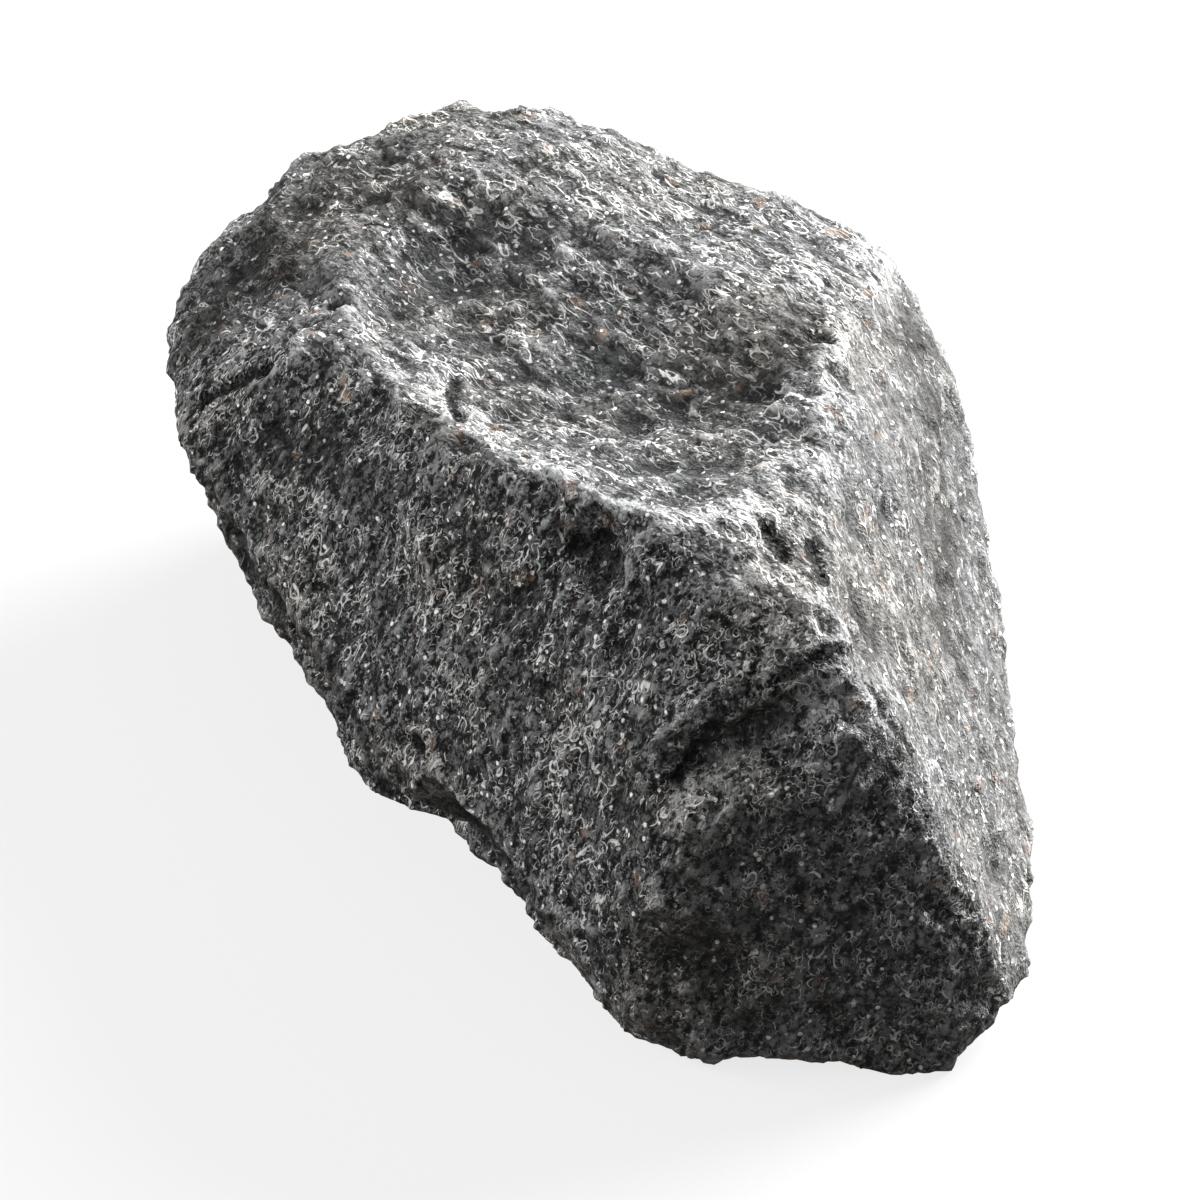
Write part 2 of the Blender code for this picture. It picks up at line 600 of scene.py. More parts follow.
    def crests(self, rounds: int) -> np.ndarray:
        """Measures how far each vertex stands out from the surface smoothed around it.

        Args:
            rounds: Rounds of smoothing; more rounds see broader crests.

        Returns:
            Metres along the normal for each vertex, above zero on crests and below it in hollows.
        """
        points, normals = self.smoothed(rounds)
        return ((points_of(self.body) - points) * normals).sum(axis=1)

    def see(self, tree: BVHTree, pixel: Pixel) -> tuple[Vector, Vector]:
        """Finds the place on the stone that a pixel of the photograph shows.

        Args:
            tree: The stone's surface.
            pixel: A place in the photograph.

        Returns:
            The point and the surface's normal there. A pixel that misses the stone is moved towards
            the stone's middle until it meets it.
        """
        middle = self.view.centre_px
        point = None
        share = 0.0
        while point is None:
            aim = (pixel[0] + share * (middle[0] - pixel[0]), pixel[1] + share * (middle[1] - pixel[1]))
            point, normal, _, _ = tree.ray_cast(self.view.place(), self.view.ray(aim))
            share += 0.01
        return point, normal

    def cleave(self) -> None:
        """Breaks off whatever stands out past the nearly flat faces."""
        tree = BVHTree.FromObject(self.body, bpy.context.evaluated_depsgraph_get())
        for item in self.cleaves:
            seen = [self.see(tree, pixel) for pixel in item.seen_px]
            points = np.array([point for point, _ in seen])
            centre = Vector(points.mean(axis=0))
            out = Vector(np.linalg.svd(points - np.array(centre))[2][2])
            if out.dot(sum((normal for _, normal in seen), Vector())) < 0:
                out.negate()
            activate(self.body)
            bpy.ops.object.mode_set(mode="EDIT")
            bpy.ops.mesh.select_all(action="SELECT")
            inside = centre - out * item.deep_mm * MM
            bpy.ops.mesh.bisect(plane_co=inside, plane_no=out, use_fill=True, clear_outer=True)
            bpy.ops.object.mode_set(mode="OBJECT")
            LOG.info("face %s looks %s", item.name, [round(v, 2) for v in out])

    def knock_chips(self) -> list[Scoop]:
        """Chooses the chips that are knocked off the crests, a few of them large and most of them small.

        Returns:
            The hollows that they leave.
        """
        draw = random.Random(self.seed)
        stands = self.crests(self.crest_rounds)
        points, normals = points_of(self.body), normals_of(self.body)
        crest = np.argsort(-stands)[: len(stands) // self.crest_part]
        taken: list[Vector] = []
        scoops: list[Scoop] = []
        for _ in range(self.chips * 12):
            if len(taken) == self.chips:
                break
            index = int(crest[draw.randrange(len(crest))])
            place = Vector(points[index])
            crowded = any((place - other).length < self.chip_gap_mm * MM for other in taken)
            if place.z < self.chip_low_mm * MM or crowded:
                continue
            taken.append(place)
            small, large = self.chip_mm
            size = small + (large - small) * draw.random() ** 2.4
            out = Vector(normals[index])
            wander = Vector((draw.uniform(-1, 1), draw.uniform(-1, 1), draw.uniform(-1, 1))) * 0.5
            turn = (out + wander).to_track_quat("Z", "Y").to_matrix()
            spin = Matrix.Rotation(draw.uniform(0, 6.28), 3, "Z")
            radii = Vector((size * draw.uniform(*self.chip_long), size, size * self.chip_flat)) * MM
            scoops.append(Scoop(place + out * radii.z * self.chip_lift, radii, turn @ spin, out))
        return scoops

    def open_breaks(self) -> list[Scoop]:
        """Lays the hollows along each crack, slit and pit, and finds the patches, where they are seen.

        Returns:
            The hollows.
        """
        tree = BVHTree.FromObject(self.body, bpy.context.evaluated_depsgraph_get())
        scoops: list[Scoop] = []
        for item in self.breaks:
            places = [self.see(tree, pixel) for pixel in item.path_px]
            self.paths[item.name] = [point for point, _ in places]
            self.outs[item.name] = sum((out for _, out in places), Vector()).normalized()
            for (start, out_a), (end, out_b) in zip(places, places[1:]):
                along = end - start
                out = (out_a + out_b).normalized()
                side = out.cross(along).normalized()
                turn = Matrix((along.normalized(), side, along.normalized().cross(side))).transposed()
                half = along.length * item.overlap + 0.4 * MM
                radii = Vector((half, item.wide_mm * MM / 2, item.deep_mm * MM))
                scoops.append(Scoop((start + end) / 2, radii, turn, out))
        for bruise_and_shading_patch in self.bruise_and_shading_patches:
            self.bruise_and_shading_zones[bruise_and_shading_patch.name] = [self.see(tree, pixel)[0] for pixel in bruise_and_shading_patch.path_px]
        return scoops

    def break_open(self) -> None:
        """Cleaves the flat faces, then knocks the chips off and opens the breaks."""
        self.cleave()
        apply_modifier(self.body, "REMESH", mode="VOXEL", voxel_size=self.carved_mm * MM)
        scoops = self.knock_chips() + self.open_breaks()
        points = points_of(self.body)
        for scoop in scoops:
            scoop.carve(points)
        move_points(self.body, points)
        LOG.info("%d chips and breaks", len(scoops))

    def shares(self) -> np.ndarray:
        """Works out how much each vertex belongs to each lie of the grain.

        Returns:
            One row for each vertex and one column for each lie; a row adds up to 1.
        """
        normals = self.smoothed(self.lie_rounds)[1]
        facing = np.array([Vector(lie.facing).normalized() for lie in LIES])
        near = np.exp(self.lie_sharpness * (normals @ facing.T))
        return near / near.sum(axis=1, keepdims=True)

    def reskin(self) -> None:
        """Covers the stone with its last skin and gives each lie of the grain its vertex group."""
        apply_modifier(self.body, "REMESH", mode="VOXEL", voxel_size=self.fine_mm * MM)
        self.drop_crumbs()
        apply_modifier(self.body, "SMOOTH", factor=0.5, iterations=1)
        shares = self.shares()
        for column, lie in enumerate(LIES):
            group = self.body.vertex_groups.new(name=lie.name)
            for index in np.flatnonzero(shares[:, column] > 0.02):
                group.add([int(index)], float(shares[index, column]), "REPLACE")

    def hackle(self) -> None:
        """Roughens the skin at each size of relief."""
        for relief in self.reliefs:
            texture = relief.texture()
            settings = {"texture": texture, "strength": relief.height_mm * MM, "mid_level": 0.5}
            if not relief.along_grain:
                apply_modifier(self.body, "DISPLACE", texture_coords="LOCAL", **settings)
                continue
            for lie in LIES:
                bpy.ops.object.empty_add(location=(0, 0, 0))
                grain = bpy.context.object
                grain.rotation_euler = lie.turn().to_euler()
                grain.scale = (lie.drawn_out, 1.0, 1.0)
                bpy.context.view_layer.update()
                along = {"texture_coords": "OBJECT", "texture_coords_object": grain}
                apply_modifier(self.body, "DISPLACE", vertex_group=lie.name, **settings, **along)
                bpy.data.objects.remove(grain)
        apply_modifier(self.body, "SMOOTH", factor=0.4, iterations=1)

    def blunt(self) -> None:
        """Draws back the thin spikes, which broken stone doesn't keep."""
        smooth = self.smoothed(self.spike_rounds)[0]
        points = points_of(self.body)
        spikes = self.crests(self.spike_rounds) > self.spike_mm * MM
        points[spikes] = smooth[spikes]
        move_points(self.body, points)

    def drop_crumbs(self) -> None:
        """Removes the crumbs that the chips and breaks left loose."""
        activate(self.body)
        bpy.ops.object.mode_set(mode="EDIT")
        bpy.ops.mesh.select_all(action="SELECT")
        bpy.ops.mesh.separate(type="LOOSE")
        bpy.ops.object.mode_set(mode="OBJECT")
        pieces = sorted(bpy.context.selected_objects, key=lambda piece: len(piece.data.vertices))
        self.body = pieces.pop()
        for piece in pieces:
            bpy.data.objects.remove(piece)

    def level(self) -> None:
        """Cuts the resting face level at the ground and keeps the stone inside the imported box."""
        activate(self.body)
        bpy.ops.object.mode_set(mode="EDIT")
        bpy.ops.mesh.select_all(action="SELECT")
        bpy.ops.mesh.bisect(plane_co=(0, 0, 0), plane_no=(0, 0, 1), use_fill=True, clear_inner=True)
        bpy.ops.object.mode_set(mode="OBJECT")
        low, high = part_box(NODE)
        points = np.clip(points_of(self.body), np.array(low), np.array(high))
        move_points(self.body, points)

    def mark(self, name: Mark, values: np.ndarray) -> None:
        """Stores one number for each vertex.

        Args:
            name: What the numbers say.
            values: The numbers.
        """
        made = self.body.data.attributes.new(name.value, "FLOAT", "POINT")
        made.data.foreach_set("value", values.astype(np.float32))
        LOG.info("%s from %.2f to %.2f", name.value, *np.percentile(values, [1, 99]))

    def mark_surface(self) -> None:
        """Stores the crests in millimetres, the lie of the grain, the dust and painted light, breaks and
        patches.
        """
        for name, rounds in CREST_ROUNDS.items():
            self.mark(name, self.crests(rounds) / MM)
        shares = self.shares()
        self.mark(Mark.LIE, shares.argmax(axis=1))
        # Rock dust, which also paints light on the top and the flank.
        self.mark(Mark.DUST_AND_PAINTED_LIGHT, shares @ np.array([lie.dust for lie in LIES]))
        self.mark(Mark.BREAK_DISTANCE, self.break_distance())
        # The patches' bruise and painted light, and their painted shade.
        self.mark(Mark.BRUISE_AND_PAINTED_SHADING, self.sum_bruises_and_painted_shading())

    def break_distance(self) -> np.ndarray:
        """Measures how far each vertex is from the nearest break.

        Returns:
            The distance for each vertex, 1 where the break's painted shade ends.
        """
        points = points_of(self.body)
        nearest = np.full(len(points), 4.0)
        for item in self.breaks:
            # How far the painted shade reaches across the break.
            reach = item.wide_mm * 0.5 * item.painted_shade_share * MM
            deeper = reach / ((item.deep_mm + 1.0) * MM)
            away = path_distance(points, self.paths[item.name], self.outs[item.name], deeper)
            nearest = np.minimum(nearest, away / reach)
        return nearest

    def sum_bruises_and_painted_shading(self) -> np.ndarray:
        """Adds up the bruised zones, the zones of painted light and the zones of painted shade.

        Returns:
            How pale each vertex is, as bruise and painted light, or how dark, as painted shade, where it
            is below zero.
        """
        points = points_of(self.body)
        pale = np.zeros(len(points))
        for bruise_and_shading_patch in self.bruise_and_shading_patches:
            away = path_distance(points, self.bruise_and_shading_zones[bruise_and_shading_patch.name], UP)
            share = np.clip(1 - away / (bruise_and_shading_patch.wide_mm * MM), 0, 1)
            share = share * share * (3 - 2 * share)
            pale = pale + bruise_and_shading_patch.pale * share * np.clip(1 - np.abs(pale), 0, 1)
        return pale

    def build(self, node: bpy.types.Object) -> bpy.types.Object:
        """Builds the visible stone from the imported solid.

        Args:
            node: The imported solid.

        Returns:
            The finished body, with no material yet.
        """
        self.copy_node(node)
        self.soften()
        self.break_open()
        self.reskin()
        self.hackle()
        self.blunt()
        self.level()
        self.mark_surface()
        activate(self.body)
        bpy.ops.object.shade_smooth()
        self.body.vertex_groups.clear()
        self.body.data.materials.clear()
        LOG.info("%s: %d faces", self.body.name, len(self.body.data.polygons))
        return self.body


@dataclass
class Graph:
    """A node tree that is filled from left to right.

    Attributes:
        tree: The material's or the group's tree.
    """

    tree: bpy.types.NodeTree

    def node(
        self, kind: str, inputs: Mapping[Union[str, int], Socket], **settings: object
    ) -> bpy.types.Node:
        """Adds a node, sets its inputs and links those that another node feeds.

        Args:
            kind: The node's type, without the ShaderNode prefix.
            inputs: A value or another node's output for each input.
            **settings: The node's own properties.

        Returns:
            The node.
        """
        made = self.tree.nodes.new("ShaderNode" + kind)
        for name, value in settings.items():
            setattr(made, name, value)
        for name, value in inputs.items():
            if isinstance(value, bpy.types.NodeSocket):
                self.tree.links.new(value, made.inputs[name])
            else:
                made.inputs[name].default_value = value
        return made

    def math(self, operation: str, first: Socket, second: Socket = 0.0) -> bpy.types.NodeSocket:
        """Works out a number from two others.

        Args:
            operation: What is done with them.
            first: The first number.
            second: The second number.

        Returns:
            The result.
        """
        return self.node("Math", {0: first, 1: second}, operation=operation).outputs[0]

    def add(self, first: Socket, second: Socket) -> bpy.types.NodeSocket:
        """Adds two numbers."""
        return self.math("ADD", first, second)

    def times(self, first: Socket, second: Socket) -> bpy.types.NodeSocket:
        """Multiplies two numbers."""
        return self.math("MULTIPLY", first, second)

    def less(self, first: Socket, second: Socket) -> bpy.types.NodeSocket:
        """Takes the second number from the first."""
        return self.math("SUBTRACT", first, second)

    def ramp(
        self, value: Socket, start: float, end: float, low: float = 0.0, high: float = 1.0
    ) -> bpy.types.NodeSocket:
        """Maps a value smoothly from one range to another.

        Args:
            value: What is mapped.
            start: The value that gives low.
            end: The value that gives high.
            low: The result at start.
            high: The result at end.

        Returns:
            The mapped value.
        """
        inputs = {"Value": value, "From Min": start, "From Max": end, "To Min": low, "To Max": high}
        return self.node("MapRange", inputs, interpolation_type="SMOOTHSTEP").outputs["Result"]

    def noise(
        self, place: Socket, scale: Socket, detail: float = 3.0, roughness: float = 0.6
    ) -> bpy.types.NodeSocket:
        """Draws a noise.

        Args:
            place: The coordinates that it is drawn on.
            scale: How many of its swells come to a metre.
            detail: How many finer noises are laid over it.
            roughness: How strong those are.

        Returns:
            The noise, about 0.5 in the middle.
        """
        inputs = {"Vector": place, "Scale": scale, "Detail": detail, "Roughness": roughness}
        return self.node("TexNoise", inputs).outputs[0]

    def attribute(self, name: Mark) -> bpy.types.NodeSocket:
        """Reads one of the mesh's numbers."""
        return self.node("Attribute", {}, attribute_name=name.value).outputs["Fac"]

    def group(self, tree: bpy.types.NodeTree, place: Socket, **values: Socket) -> bpy.types.NodeSocket:
        """Places a node group with its own values.

        Args:
            tree: The group.
            place: The coordinates that it is drawn on.
            **values: A value or another node's output for each of its number inputs.

        Returns:
            The group's output.
        """
        return self.node("Group", {"Vector": place, **values}, node_tree=tree).outputs[0]

    def tint(
        self, base: Socket, colour: Socket, mask: Socket, look: Look = Look.MIX
    ) -> bpy.types.NodeSocket:
        """Lays a colour over another where a mask says.

        Args:
            base: The colour below.
            colour: The colour laid over it.
            mask: Where and how strongly.
            look: How the two combine.

        Returns:
            The resulting colour.
        """
        mix = self.node("Mix", {0: mask, 6: base, 7: colour}, data_type="RGBA", blend_type=look.value)
        return mix.outputs[2]


def new_group(
    name: str, inputs: Mapping[str, float], output: str
) -> tuple[Graph, bpy.types.Node, bpy.types.Node]:
    """Starts a shader node group with one vector input, number inputs and one number output.

    Args:
        name: The group's name.
        inputs: Its number inputs and their values.
        output: Its output.

    Returns:
        The group's graph, its input node and its output node.
    """
    tree = bpy.data.node_groups.new(name, "ShaderNodeTree")
    tree.interface.new_socket("Vector", in_out="INPUT", socket_type="NodeSocketVector")
    for socket, value in inputs.items():
        made = tree.interface.new_socket(socket, in_out="INPUT", socket_type="NodeSocketFloat")
        made.default_value = value
    tree.interface.new_socket(output, in_out="OUTPUT", socket_type="NodeSocketFloat")
    return Graph(tree), tree.nodes.new("NodeGroupInput"), tree.nodes.new("NodeGroupOutput")


def crystal_threads() -> bpy.types.NodeTree:
    """Builds the group of pale curled crystal threads, which rim the dark grains.

    Returns:
        A group with the threads as a mask, 1 on a thread.
    """
    inputs = {"Size": 2.6, "Curl": 1.2, "Cover": 0.5}
    graph, given, result = new_group("crystal_threads", inputs, "Threads")
    place = given.outputs["Vector"]
    scale = graph.math("DIVIDE", 1 / MM, given.outputs["Size"])
    bend = graph.node("TexNoise", {"Vector": place, "Scale": graph.times(scale, 0.8), "Detail": 0.5})
    bend = graph.node("VectorMath", {0: bend.outputs["Color"], 1: (0.5, 0.5, 0.5)}, operation="SUBTRACT")
    reach = graph.math("DIVIDE", given.outputs["Curl"], scale)
    bend = graph.node("VectorMath", {0: bend.outputs[0], "Scale": reach}, operation="SCALE")
    bent = graph.node("VectorMath", {0: place, 1: bend.outputs[0]}, operation="ADD").outputs[0]
    cell = graph.node("TexVoronoi", {"Vector": bent, "Scale": scale}, feature="F1").outputs["Distance"]
    ring = graph.math("ABSOLUTE", graph.less(cell, 0.46))
    ring = graph.less(1.0, graph.times(ring, 7.5))
    gaps = graph.noise(place, graph.times(scale, 0.9), 0.5, 0.6)
    least = graph.less(1.0, given.outputs["Cover"])
    width = graph.math("MINIMUM", graph.times(graph.less(gaps, least), 4.0), 0.62)
    graph.tree.links.new(graph.ramp(graph.add(ring, width), 1.0, 1.35), result.inputs["Threads"])
    return graph.tree


def pale_specks() -> bpy.types.NodeTree:
    """Builds the group of small pale grains.

    Returns:
        A group with the grains as a mask, 1 on a grain.
    """
    inputs = {"Spacing": 4.0, "Radius": 0.14, "Share": 0.4}
    graph, given, result = new_group("pale_specks", inputs, "Specks")
    scale = graph.math("DIVIDE", 1 / MM, given.outputs["Spacing"])
    cell = graph.node("TexVoronoi", {"Vector": given.outputs["Vector"], "Scale": scale}, feature="F1")
    dot = graph.ramp(graph.less(given.outputs["Radius"], cell.outputs["Distance"]), 0.0, 0.08)
    lot = graph.node("SeparateColor", {0: cell.outputs["Color"]}).outputs[0]
    chosen = graph.math("LESS_THAN", lot, given.outputs["Share"])
    graph.tree.links.new(graph.times(dot, chosen), result.inputs["Specks"])
    return graph.tree


def worn_edge() -> bpy.types.NodeTree:
    """Builds the group that finds bruised crests.

    Returns:
        A group with the bruise as a mask, from the crest's height in millimetres broken up by noise.
    """
    graph, given, result = new_group("worn_edge", {"Crest": 0.0, "Start": 0.3, "Full": 1.5}, "Bruise")
    ragged = graph.ramp(graph.noise(given.outputs["Vector"], 300.0, 2.0, 0.7), 0.3, 0.7, -0.5, 0.5)
    span = graph.less(given.outputs["Full"], given.outputs["Start"])
    height = graph.add(given.outputs["Crest"], graph.times(ragged, span))
    share = graph.math("DIVIDE", graph.less(height, given.outputs["Start"]), span)
    graph.tree.links.new(graph.ramp(share, 0.0, 1.0), result.inputs["Bruise"])
    return graph.tree


@dataclass(frozen=True)
class Threads:
    """One size of the pale crystal threads.

    Attributes:
        size_mm: Width of a curl.
        curl: How far a thread strays, as a share of its size.
        cover: How much of the stone they cover.
    """

    size_mm: float
    curl: float
    cover: float


@dataclass(frozen=True)
class StoneFinish:
    """The finish of dark crystalline stone.

    Attributes:
        matrix: The dark fine ground of the stone.
        mid_grain: The mid-grey grains in it.
        powder_and_painted_light: The rock dust, which also paints light on the top and the flank.
        thread: The pale crystal threads.
        speck: The small pale grains.
        bruise_and_painted_light: The crushed stone on crests, and crushed stone with painted light in the
            pale zones.
        rust: The warm spots.
        stain: The warm clouds.
        soil_tint_and_painted_shade: Painted shade tinted brown on faces that look down.
        painted_pit_shade: Painted shade, what is left of the colour in the pits between the grains.
        painted_basin_shade: Painted shade, what is left of it on the floor of the hollow top.
        painted_zone_shade: Painted shade, what is left of it in the dark zones.
        painted_hollow_shade: Painted shade, what is left of it in broad hollows.
        painted_break_shade: Painted shade, what is left of it in cracks, slits and pits.
        small_threads: The small threads.
        large_threads: The large threads, which also stand out.
        roughness: Roughness of clean stone, and how far it varies either way.
        relief_mm: Height of the grain in the bump.
        gloss: Specular level.
    """

    matrix: Colour = (0.008, 0.0082, 0.0086, 1)
    mid_grain: Colour = (0.145, 0.146, 0.147, 1)
    powder_and_painted_light: Colour = (0.155, 0.155, 0.152, 1)
    thread: Colour = (0.66, 0.66, 0.645, 1)
    speck: Colour = (0.85, 0.85, 0.83, 1)
    bruise_and_painted_light: Colour = (0.36, 0.365, 0.365, 1)
    rust: Colour = (0.34, 0.22, 0.15, 1)
    stain: Colour = (1.0, 0.92, 0.82, 1)
    soil_tint_and_painted_shade: Colour = (0.42, 0.37, 0.32, 1)
    painted_pit_shade: Colour = (0.14, 0.14, 0.14, 1)
    painted_basin_shade: Colour = (0.45, 0.46, 0.48, 1)
    painted_zone_shade: Colour = (0.32, 0.31, 0.30, 1)
    painted_hollow_shade: Colour = (0.25, 0.25, 0.25, 1)
    painted_break_shade: Colour = (0.06, 0.06, 0.06, 1)
    small_threads: Threads = Threads(1.3, 1.0, 0.57)
    large_threads: Threads = Threads(2.7, 1.2, 0.51)
    roughness: tuple[float, float] = (0.72, 0.14)
    relief_mm: float = 1.0
    gloss: float = 0.14


class StoneMaterial:
    """The stone's material, whose colour is laid on in layers.

    Attributes:
        finish: Its colours and values.
        made: The material.
        graph: Its graph.
        place: Object coordinates.
        flow: The same, laid along the grain.
        fine: Height of the fine crests in millimetres.
        broad: Height of the broad crests.
        great: Height of the great crests.
        upward: How far up the face looks, from -1 to 1.
        dust: How much rock dust lies on it, which also paints light on the top and the flank.
        bruise_and_shading_zone: How pale the zone is, as bruise and painted light, or how dark, as
            painted shade, where it is below zero.
        away: Distance to the nearest break, 1 where its painted shade ends.
        grain: Grain drawn out along the lie.
        grit: The finest grain.
        both: Grain and grit together.
        mottle: Clouds as wide as a few grains.
        large_thread: Where the large threads run.
        colour: The colour so far.
    """

    def __init__(self, finish: StoneFinish) -> None:
        """Starts the material with what its layers read from the mesh and the noises that they share.

        Args:
            finish: Its colours and values.
        """
        self.finish = finish
        self.made = bpy.data.materials.new("dark_crystalline_stone")
        self.made.use_nodes = True
        self.graph = graph = Graph(self.made.node_tree)
        self.place = graph.node("TexCoord", {}).outputs["Object"]
        self.flow = self.lay_along(self.place)
        self.fine = graph.attribute(Mark.FINE_CREST)
        self.broad = graph.attribute(Mark.BROAD_CREST)
        self.great = graph.attribute(Mark.GREAT_CREST)
        normal = graph.node("NewGeometry", {}).outputs["Normal"]
        self.upward = graph.node("SeparateXYZ", {0: normal}).outputs["Z"]
        self.dust = graph.attribute(Mark.DUST_AND_PAINTED_LIGHT)
        self.bruise_and_shading_zone = graph.attribute(Mark.BRUISE_AND_PAINTED_SHADING)
        self.away = graph.attribute(Mark.BREAK_DISTANCE)
        self.grain = graph.noise(self.flow, 620.0, 2.0, 0.6)
        self.grit = graph.noise(self.place, 1250.0, 1.0, 0.7)
        self.both = graph.add(graph.times(self.grain, 0.5), graph.times(self.grit, 0.5))
        self.mottle = graph.noise(self.place, 130.0, 3.0, 0.65)
        self.large_thread: Socket = 0.0
        self.colour: Socket = finish.matrix

    def lay_along(self, place: Socket) -> bpy.types.NodeSocket:
        """Lays coordinates along the grain of the face that they lie on.

        Args:
            place: Object coordinates.

        Returns:
            The coordinates, X along the grain.
        """
        graph = self.graph
        chosen = graph.attribute(Mark.LIE)
        result = None
        for number, lie in enumerate(LIES):
            turn = lie.turn().inverted().to_euler()
            turned = graph.node("Mapping", {"Vector": place, "Rotation": turn})
            shorter = {0: turned.outputs[0], 1: (1 / lie.drawn_out, 1.0, 1.0)}
            drawn = graph.node("VectorMath", shorter, operation="MULTIPLY").outputs[0]
            if result is None:
                result = drawn
                continue
            here = graph.math("GREATER_THAN", chosen, number - 0.5)
            result = graph.node("Mix", {0: here, 4: result, 5: drawn}, data_type="VECTOR").outputs[1]
        return result

    def lay(self, colour: Colour, mask: Socket, look: Look = Look.MIX) -> None:
        """Lays one more colour over the others where a mask says."""
        self.colour = self.graph.tint(self.colour, colour, mask, look)

    def lay_ground(self) -> None:
        """Lays the mid-grey grains, with painted light and shade, and the rock dust over the dark ground.
        """
        graph = self.graph
        cloud = graph.noise(self.place, 45.0, 1.0, 0.6)
        # Painted light and shade: more mid-grey grains on the great crests, fewer in the great hollows.
        body = graph.ramp(self.great, -2.0, 1.5, 0.15, 0.75)
        body = graph.add(body, graph.ramp(cloud, 0.35, 0.7, -0.10, 0.20))
        body = graph.add(body, graph.ramp(self.mottle, 0.45, 0.70, -0.05, 0.45))
        body = graph.add(body, graph.times(self.dust, 0.5))
        # Painted light and shade: more grains in the pale zones, fewer in the dark zones.
        body = graph.add(body, graph.times(self.bruise_and_shading_zone, 0.25))
        self.lay(self.finish.mid_grain, graph.times(graph.ramp(self.both, 0.46, 0.56), body))
        # Rock dust, which also paints light on the top and the flank.
        self.lay(self.finish.powder_and_painted_light, graph.ramp(self.dust, 0.0, 0.8, 0.0, 0.62))

    def lay_threads(self) -> None:
        """Lays the pale threads, which gather in clusters and in the pale zones."""
        graph, tree = self.graph, crystal_threads()
        cluster = graph.ramp(graph.noise(self.place, 85.0, 1.0), 0.32, 0.68, -0.10, 0.10)
        # More threads in the pale zones, which also paints light there.
        cluster = graph.add(cluster, graph.times(self.bruise_and_shading_zone, 0.10))
        masks = []
        for kind in (self.finish.small_threads, self.finish.large_threads):
            cover = graph.add(cluster, kind.cover)
            masks.append(graph.group(tree, self.flow, Size=kind.size_mm, Curl=kind.curl, Cover=cover))
        small, self.large_thread = masks
        thread = graph.math("MAXIMUM", graph.times(small, 0.7), self.large_thread)
        self.lay(self.finish.thread, graph.times(thread, graph.ramp(self.dust, 0.3, 0.6, 0.88, 0.50)))

    def lay_bruises(self) -> None:
        """Crushes the stone on the small nibs and the crests, and in the pale zones, where it is also
        painted light.
        """
        graph, edge = self.graph, worn_edge()
        ragged = graph.add(self.bruise_and_shading_zone, graph.ramp(self.mottle, 0.35, 0.65, -0.30, 0.30))
        # Crushed stone and painted light in the pale zones.
        bruise_and_shading_zone = graph.times(graph.ramp(ragged, 0.20, 1.0), graph.ramp(self.both, 0.42, 0.56, 0.25, 1.0))
        nib = graph.group(edge, self.flow, Crest=self.fine, Start=0.08, Full=0.45)
        crest = graph.group(edge, self.flow, Crest=self.broad, Start=0.55, Full=2.0)
        for mask, strength in ((bruise_and_shading_zone, 0.75), (nib, 0.28), (crest, 0.60)):
            self.lay(self.finish.bruise_and_painted_light, graph.times(mask, strength))

    def lay_specks(self) -> None:
        """Lays the small pale grains."""
        specks = self.graph.group(pale_specks(), self.place, Spacing=2.5, Radius=0.22, Share=0.42)
        self.lay(self.finish.speck, self.graph.times(specks, 0.9))

    def lay_stains(self) -> None:
        """Lays the warm spots, the warm clouds, and painted shade tinted brown on faces looking down."""
        graph = self.graph
        spots = graph.ramp(graph.noise(self.place, 170.0, 1.0), 0.68, 0.74)
        clouds = graph.ramp(graph.noise(self.place, 30.0, 2.0), 0.42, 0.68, 0.0, 0.45)
        # Painted shade, tinted brown, on faces that look down.
        underside_shade = graph.ramp(self.upward, 0.15, -0.35)
        self.lay(self.finish.rust, graph.times(spots, 0.30))
        self.lay(self.finish.stain, clouds, Look.DARKEN)
        self.lay(self.finish.soil_tint_and_painted_shade, graph.times(underside_shade, 0.9), Look.DARKEN)

    def lay_shade(self) -> None:
        """Paints shade into the pits between the grains, the hollows, the dark zones and the breaks."""
        graph, finish = self.graph, self.finish
        dusty = graph.ramp(self.dust, 0.2, 0.6, 0.85, 0.25)
        # Painted shade in the pits between the grains.
        pit_shade = graph.times(graph.ramp(self.grain, 0.45, 0.38), dusty)
        not_pale = graph.ramp(self.bruise_and_shading_zone, 0.5, 0.1)
        # Painted shade on the floor of the hollow top.
        basin_shade = graph.times(graph.ramp(self.great, 0.3, -1.4), graph.ramp(self.upward, 0.3, 0.8))
        # Painted shade in the dark zones.
        ragged_painted_shade_zone = graph.add(self.bruise_and_shading_zone, graph.ramp(self.mottle, 0.35, 0.65, -0.25, 0.25))
        # Painted shade in broad hollows.
        hollow_shade = graph.ramp(self.broad, -0.2, -1.3, 0.0, 0.5)
        # Painted shade in the breaks.
        ragged_break_shade = graph.add(self.away, graph.ramp(self.grit, 0.3, 0.7, -0.3, 0.3))
        shades = (
            (finish.painted_pit_shade, graph.math("MAXIMUM", graph.ramp(self.fine, -0.05, -0.38, 0.0, 0.9), pit_shade)),
            (finish.painted_basin_shade, graph.times(basin_shade, not_pale)),
            (finish.painted_zone_shade, graph.ramp(ragged_painted_shade_zone, -0.05, -0.8)),
            (finish.painted_hollow_shade, graph.times(hollow_shade, not_pale)),
            (finish.painted_break_shade, graph.ramp(ragged_break_shade, 1.25, 0.85)),
        )
        for colour, mask in shades:
            self.lay(colour, mask, Look.DARKEN)

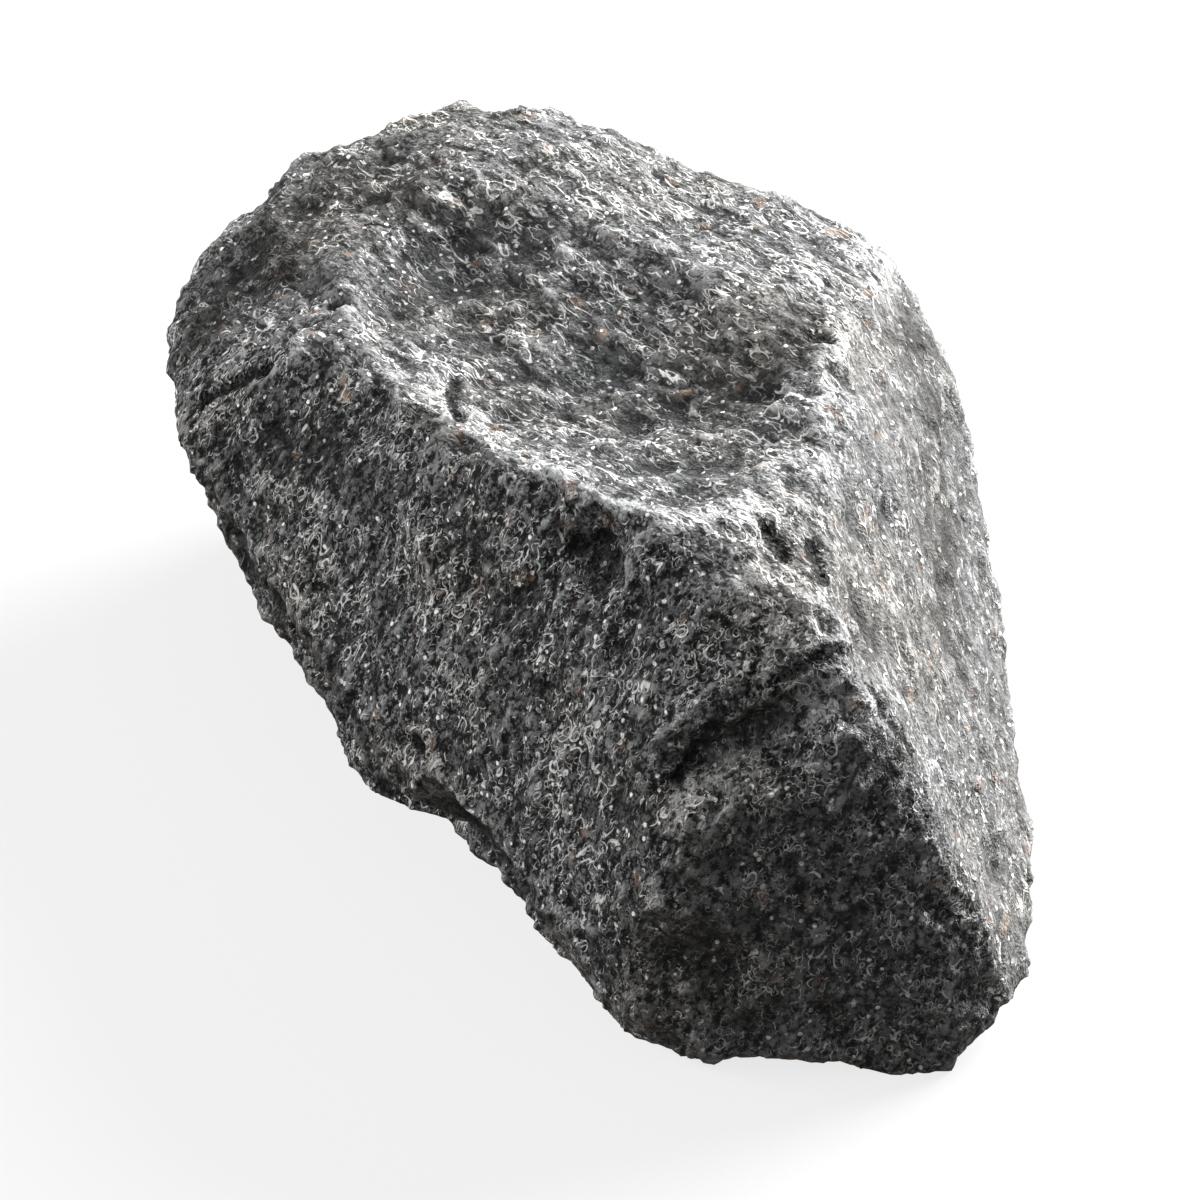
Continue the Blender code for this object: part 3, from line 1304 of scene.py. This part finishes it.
    def build(self) -> bpy.types.Material:
        """Lays all the layers and links them to the shader.

        Returns:
            The stone's material.
        """
        self.lay_ground()
        self.lay_threads()
        self.lay_bruises()
        self.lay_specks()
        self.lay_stains()
        self.lay_shade()
        graph, shader = self.graph, self.made.node_tree.nodes["Principled BSDF"]
        middle, spread = self.finish.roughness
        rough = graph.ramp(self.both, 0.3, 0.7, middle + spread, middle - spread)
        height = graph.add(graph.times(self.large_thread, 0.30), self.both)
        settings = {"Strength": 1.0, "Distance": self.finish.relief_mm * MM, "Height": height}
        bump = graph.node("Bump", settings)
        graph.tree.links.new(self.colour, shader.inputs["Base Color"])
        graph.tree.links.new(rough, shader.inputs["Roughness"])
        graph.tree.links.new(bump.outputs[0], shader.inputs["Normal"])
        shader.inputs["Specular IOR Level"].default_value = self.finish.gloss
        return self.made


@dataclass(frozen=True)
class Lamp:
    """One soft area lamp that looks at the rock.

    Attributes:
        name: What it does.
        place: Where it stands.
        size: Its width and height.
        watts: Its power.
    """

    name: str
    place: Direction
    size: float
    watts: float

    def build(self) -> None:
        """Adds the lamp, turned to the middle of the rock."""
        bpy.ops.object.light_add(type="AREA", location=self.place)
        lamp = bpy.context.object
        lamp.name = self.name
        lamp.data.shape = "DISK"
        lamp.data.size = self.size
        lamp.data.energy = self.watts
        aim = Vector((0, 0, 0.05)) - Vector(self.place)
        lamp.rotation_euler = aim.to_track_quat("-Z", "Y").to_euler()


@dataclass
class Studio:
    """The pale floor, the lamps, the sky and the camera.

    Attributes:
        view: The photograph's camera.
        floor_size: Width of the floor.
        floor_colour: Its colour.
        floor_glow: How much it shines from below, as a light table does.
        sky_range: The height at which the sky is darkest and the one at which it is brightest.
        sky_light: Its light at those heights.
        sky_strength: How strong the whole sky is.
        lamps: The lamps.
    """

    view: Viewpoint
    floor_size: float = 12.0
    floor_colour: Colour = (0.11, 0.11, 0.11, 1)
    floor_glow: float = 0.78
    sky_range: tuple[float, float] = (-0.25, 0.9)
    sky_light: tuple[float, float] = (0.10, 1.0)
    sky_strength: float = 0.55
    lamps: tuple[Lamp, ...] = (
        Lamp("key", (1.33, 1.03, 0.92), 1.2, 165.0),
        Lamp("left_fill", (-1.5, 0.3, 0.72), 0.7, 27.0),
    )

    def lay_floor(self) -> None:
        """Lays the floor, which catches the rock's shadow but throws no light back under it."""
        deselect()
        bpy.ops.mesh.primitive_plane_add(size=self.floor_size, location=(0, 0, 0))
        floor = bpy.context.object
        floor.name = "floor"
        floor.visible_diffuse = False
        made = bpy.data.materials.new("pale_floor")
        made.use_nodes = True
        shader = made.node_tree.nodes["Principled BSDF"]
        shader.inputs["Base Color"].default_value = self.floor_colour
        shader.inputs["Emission Color"].default_value = (1, 1, 1, 1)
        shader.inputs["Emission Strength"].default_value = self.floor_glow
        shader.inputs["Roughness"].default_value = 0.9
        shader.inputs["Specular IOR Level"].default_value = 0.1
        floor.data.materials.append(made)

    def light_sky(self) -> None:
        """Lights the scene from a sky that is bright above and dark below."""
        world = bpy.data.worlds.new("studio_sky")
        world.use_nodes = True
        bpy.context.scene.world = world
        graph = Graph(world.node_tree)
        background = world.node_tree.nodes["Background"]
        place = graph.node("TexCoord", {}).outputs["Generated"]
        height = graph.node("SeparateXYZ", {0: place}).outputs["Z"]
        light = graph.ramp(height, *self.sky_range, *self.sky_light)
        colour = graph.node("CombineColor", {0: light, 1: light, 2: light}).outputs[0]
        graph.tree.links.new(colour, background.inputs["Color"])
        background.inputs["Strength"].default_value = self.sky_strength

    def build(self) -> None:
        """Builds the whole studio."""
        self.lay_floor()
        self.light_sky()
        for lamp in self.lamps:
            lamp.build()
        self.view.make_camera()
        bpy.context.scene.view_settings.view_transform = "Standard"


def main() -> None:
    """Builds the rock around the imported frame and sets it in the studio."""
    logging.basicConfig(level=logging.INFO, format="%(name)s: %(message)s")
    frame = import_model()
    view = Viewpoint()
    stone = BrokenStone(view).build(frame["nodes"][NODE])
    stone.data.materials.append(StoneMaterial(StoneFinish()).build())
    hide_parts(NODE)
    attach(stone, BODY)
    LOG.info("%s rides on %s", stone.name, BODY)
    Studio(view).build()


if __name__ == "__main__":
    main()
